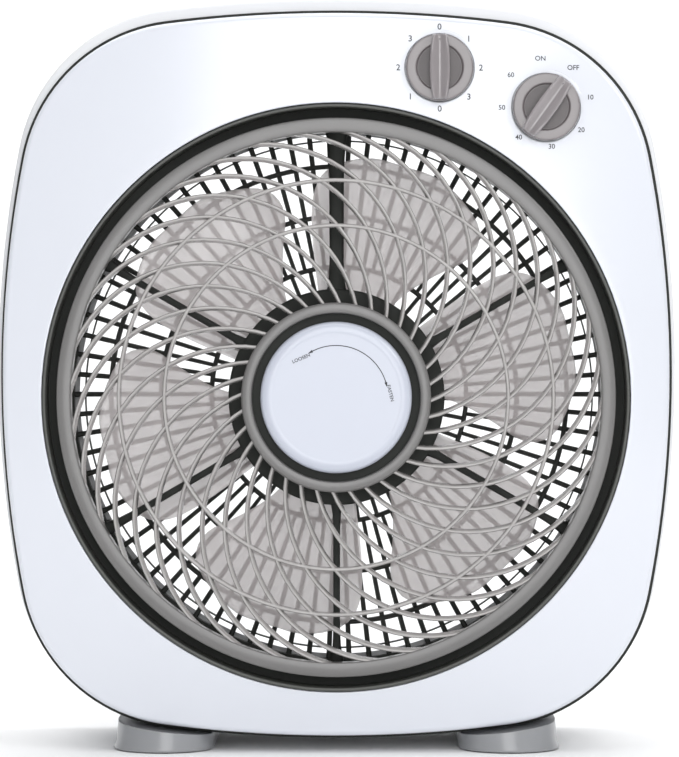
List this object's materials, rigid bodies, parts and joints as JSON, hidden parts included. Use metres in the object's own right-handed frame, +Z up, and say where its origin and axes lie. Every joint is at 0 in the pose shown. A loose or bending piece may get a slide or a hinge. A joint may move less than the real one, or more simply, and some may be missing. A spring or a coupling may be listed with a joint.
{
  "type": "box fan",
  "caption": "Free-standing box fan with a rounded square white housing, a turning swirl grille, see-through blades, a lock cap, two rotary knobs and two feet.",
  "frame": {"origin": "on the floor under the middle of the fan's bounding box", "axes": "+X to the right seen from the front, +Y from the front to the back, +Z up"},
  "size_m": [0.395, 0.162, 0.4379],
  "materials": {
    "white_shell": "smooth white moulded plastic with a soft gloss",
    "taupe_plastic": "satin warm grey plastic",
    "dark_plastic": "dark olive grey satin plastic",
    "grey_plastic": "mid grey satin plastic",
    "knob_plastic": "satin warm grey plastic",
    "clear_blades": "milky see-through plastic",
    "rubber_pad": "soft dark rubber",
    "zinc_steel": "zinc plated steel",
    "laminations": "stacked steel sheet",
    "copper_winding": "varnished copper wire",
    "cast_bracket": "die cast aluminium",
    "bronze": "sintered bronze",
    "brass": "turned brass",
    "lead_sheath": "black sheath",
    "terminal_plastic": "cream plastic",
    "capacitor_case": "black film capacitor case",
    "switch_case": "black switch case"
  },
  "bodies": {
    "housing": {"front_cover": "white_shell", "rear_shell": "white_shell", "seam_trim": "taupe_plastic", "bezel_ring": "taupe_plastic", "air_duct": "dark_plastic", "front_spider": "dark_plastic", "grille_spindle": "zinc_steel", "rear_grille": "dark_plastic", "motor_stator": "laminations", "motor_coils": "copper_winding", "motor_front_bracket": "cast_bracket", "motor_rear_bracket": "cast_bracket", "front_bearing": "bronze", "rear_bearing": "bronze", "motor_bolts": "zinc_steel", "motor_lead": "lead_sheath", "terminal_block": "terminal_plastic", "capacitor": "capacitor_case", "speed_switch": "switch_case", "timer": "switch_case", "cord_gland": "dark_plastic", "gland_nut": "dark_plastic", "foot_left": "grey_plastic", "foot_right": "grey_plastic", "foot_pads": "rubber_pad", "foot_screws": "zinc_steel", "housing_screws": "zinc_steel", "spider_screws": "zinc_steel", "rear_grille_screws": "zinc_steel"},
    "blade_unit": {"impeller": "clear_blades", "motor_shaft": "zinc_steel", "rotor": "laminations", "impeller_nut": "zinc_steel", "drive_pin": "zinc_steel"},
    "grille_unit": {"rotating_grille": "taupe_plastic", "grille_bush": "bronze"},
    "lock_slider": {"pressure_washer": "zinc_steel"},
    "lock_turner": {"lock_cap": "white_shell", "threaded_insert": "brass"},
    "speed_control": {"speed_knob": "knob_plastic", "speed_shaft": "zinc_steel"},
    "timer_control": {"timer_knob": "knob_plastic", "timer_shaft": "zinc_steel"}
  },
  "joints": [
    {"name": "blade_spin", "type": "hinge", "parent": "housing", "child": "blade_unit", "pos_m": [0, 0, 0.2056], "axis": [0, 1, 0], "continuous": true},
    {"name": "grille_spin", "type": "hinge", "parent": "housing", "child": "grille_unit", "pos_m": [0, 0, 0.2056], "axis": [0, 1, 0], "continuous": true},
    {"name": "lock_press", "type": "slide", "parent": "housing", "child": "lock_slider", "axis": [0, 1, 0], "range_m": [0, 0.00112]},
    {"name": "lock_turn", "type": "hinge", "parent": "lock_slider", "child": "lock_turner", "pos_m": [0, 0, 0.2056], "axis": [0, 1, 0], "range_deg": [0, 270]},
    {"name": "speed_turn", "type": "hinge", "parent": "housing", "child": "speed_control", "pos_m": [0.0597, 0, 0.3958], "axis": [0, 1, 0], "continuous": true},
    {"name": "timer_turn", "type": "hinge", "parent": "housing", "child": "timer_control", "pos_m": [0.1212, 0, 0.373], "axis": [0, 1, 0], "range_deg": [-43, 272]}
  ],
  "couplings": [
    {"joint": "lock_press", "follows": "lock_turn", "m_per_rad": 0.00023873}
  ]
}
